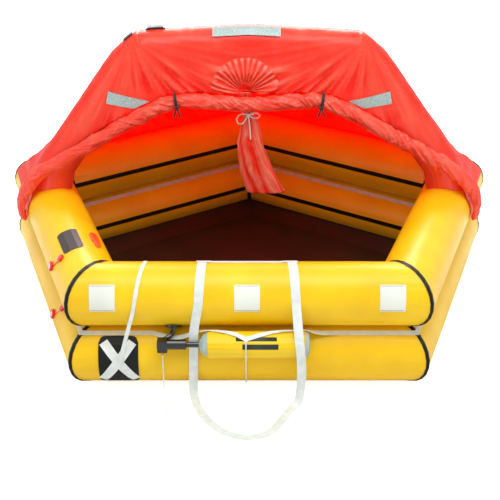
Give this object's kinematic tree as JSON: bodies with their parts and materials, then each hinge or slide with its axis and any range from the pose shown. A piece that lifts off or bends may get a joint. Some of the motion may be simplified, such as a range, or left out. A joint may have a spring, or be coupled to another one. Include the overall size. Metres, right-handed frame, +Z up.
{
  "type": "inflated liferaft",
  "caption": "Inflated pentagonal liferaft with two buoyancy tubes, an arch-borne orange canopy with its entrance curtain rolled up, lifelines and a gas cylinder.",
  "frame": {"origin": "middle of the pentagon, on the flat underside of the floor", "axes": "+X to the right and +Y away, seen from the entrance, +Z up"},
  "size_m": [2.7348, 2.9953, 1.4795],
  "materials": {
    "coated_yellow": "satin coated cloth",
    "yellow_cloth": "satin coated cloth",
    "black_tape": "satin",
    "floor_cloth": "matt coated cloth",
    "arch_cloth": "satin coated cloth",
    "canopy_cloth": "coated nylon cloth",
    "silver_reflector": "glass bead reflective tape",
    "black_webbing": "woven",
    "black_plastic": "matt",
    "black_rubber": "matt",
    "clear_plastic": "clear cover",
    "pale_patch": "satin",
    "red_plastic": "gloss",
    "white_plastic": "gloss",
    "orange_plastic": "satin",
    "painted_bottle": "satin grey paint",
    "head_black": "moulded, gloss",
    "dark_patch": "satin",
    "black_patch": "satin",
    "brass": "turned",
    "white_webbing": "woven polyester"
  },
  "bodies": {
    "raft": {"arch_tube": "arch_cloth", "boarding_ladder": "white_webbing", "boarding_ladder_anchor": "white_webbing", "canopy": "canopy_cloth", "canopy_reflector_left": "silver_reflector", "canopy_reflector_right": "silver_reflector", "canopy_reflector_top": "silver_reflector", "canopy_tab": "black_webbing", "curtain_tie_left": "black_webbing", "curtain_tie_right": "black_webbing", "cylinder_sleeve": "yellow_cloth", "entrance_curtain_roll": "canopy_cloth", "floor": "floor_cloth", "front_patch_left": "pale_patch", "front_patch_middle": "pale_patch", "front_patch_right": "pale_patch", "gas_cylinder": "painted_bottle", "inflation_hose": "black_rubber", "inlet_valve": "black_plastic", "inner_lifeline": "white_webbing", "lifeline_downhaul": "white_webbing", "light_base": "black_plastic", "light_lens": "clear_plastic", "lookout_sleeve": "canopy_cloth", "lower_buoyancy_tube": "coated_yellow", "lower_joint_tape_back": "black_tape", "lower_joint_tape_front_left": "black_tape", "lower_joint_tape_front_right": "black_tape", "lower_joint_tape_left": "black_tape", "lower_joint_tape_right": "black_tape", "lower_seam_tape": "black_tape", "lower_valve_body": "red_plastic", "lower_valve_cap": "red_plastic", "operating_head": "head_black", "outer_lifeline": "white_webbing", "safety_knife": "orange_plastic", "sign_patch": "dark_patch", "sleeve_drawcord": "white_webbing", "tow_line": "white_webbing", "tow_patch": "black_patch", "tow_patch_webbing": "white_webbing", "upper_buoyancy_tube": "coated_yellow", "upper_joint_tape_back": "black_tape", "upper_joint_tape_front_left": "black_tape", "upper_joint_tape_front_right": "black_tape", "upper_joint_tape_left": "black_tape", "upper_joint_tape_right": "black_tape", "upper_seam_tape": "black_tape", "upper_valve_body": "red_plastic", "upper_valve_cap": "red_plastic"},
    "upper_poppet": {"upper_valve_poppet": "white_plastic"},
    "lower_poppet": {"lower_valve_poppet": "white_plastic"},
    "pin": {"firing_pin": "brass", "firing_cord": "white_webbing"}
  },
  "joints": [
    {"name": "upper_poppet_slide", "type": "slide", "parent": "raft", "child": "upper_poppet", "axis": [-0.9186, -0.2985, 0.2588], "range_m": [-0.0035, 0], "stiffness_N_per_m": 300, "springref_m": 0.002},
    {"name": "lower_poppet_slide", "type": "slide", "parent": "raft", "child": "lower_poppet", "axis": [-0.9186, -0.2985, 0.2588], "range_m": [-0.0035, 0], "stiffness_N_per_m": 300, "springref_m": 0.002},
    {"name": "firing_pin_slide", "type": "slide", "parent": "raft", "child": "pin", "axis": [0, 0, -1], "range_m": [0, 0.012]}
  ]
}
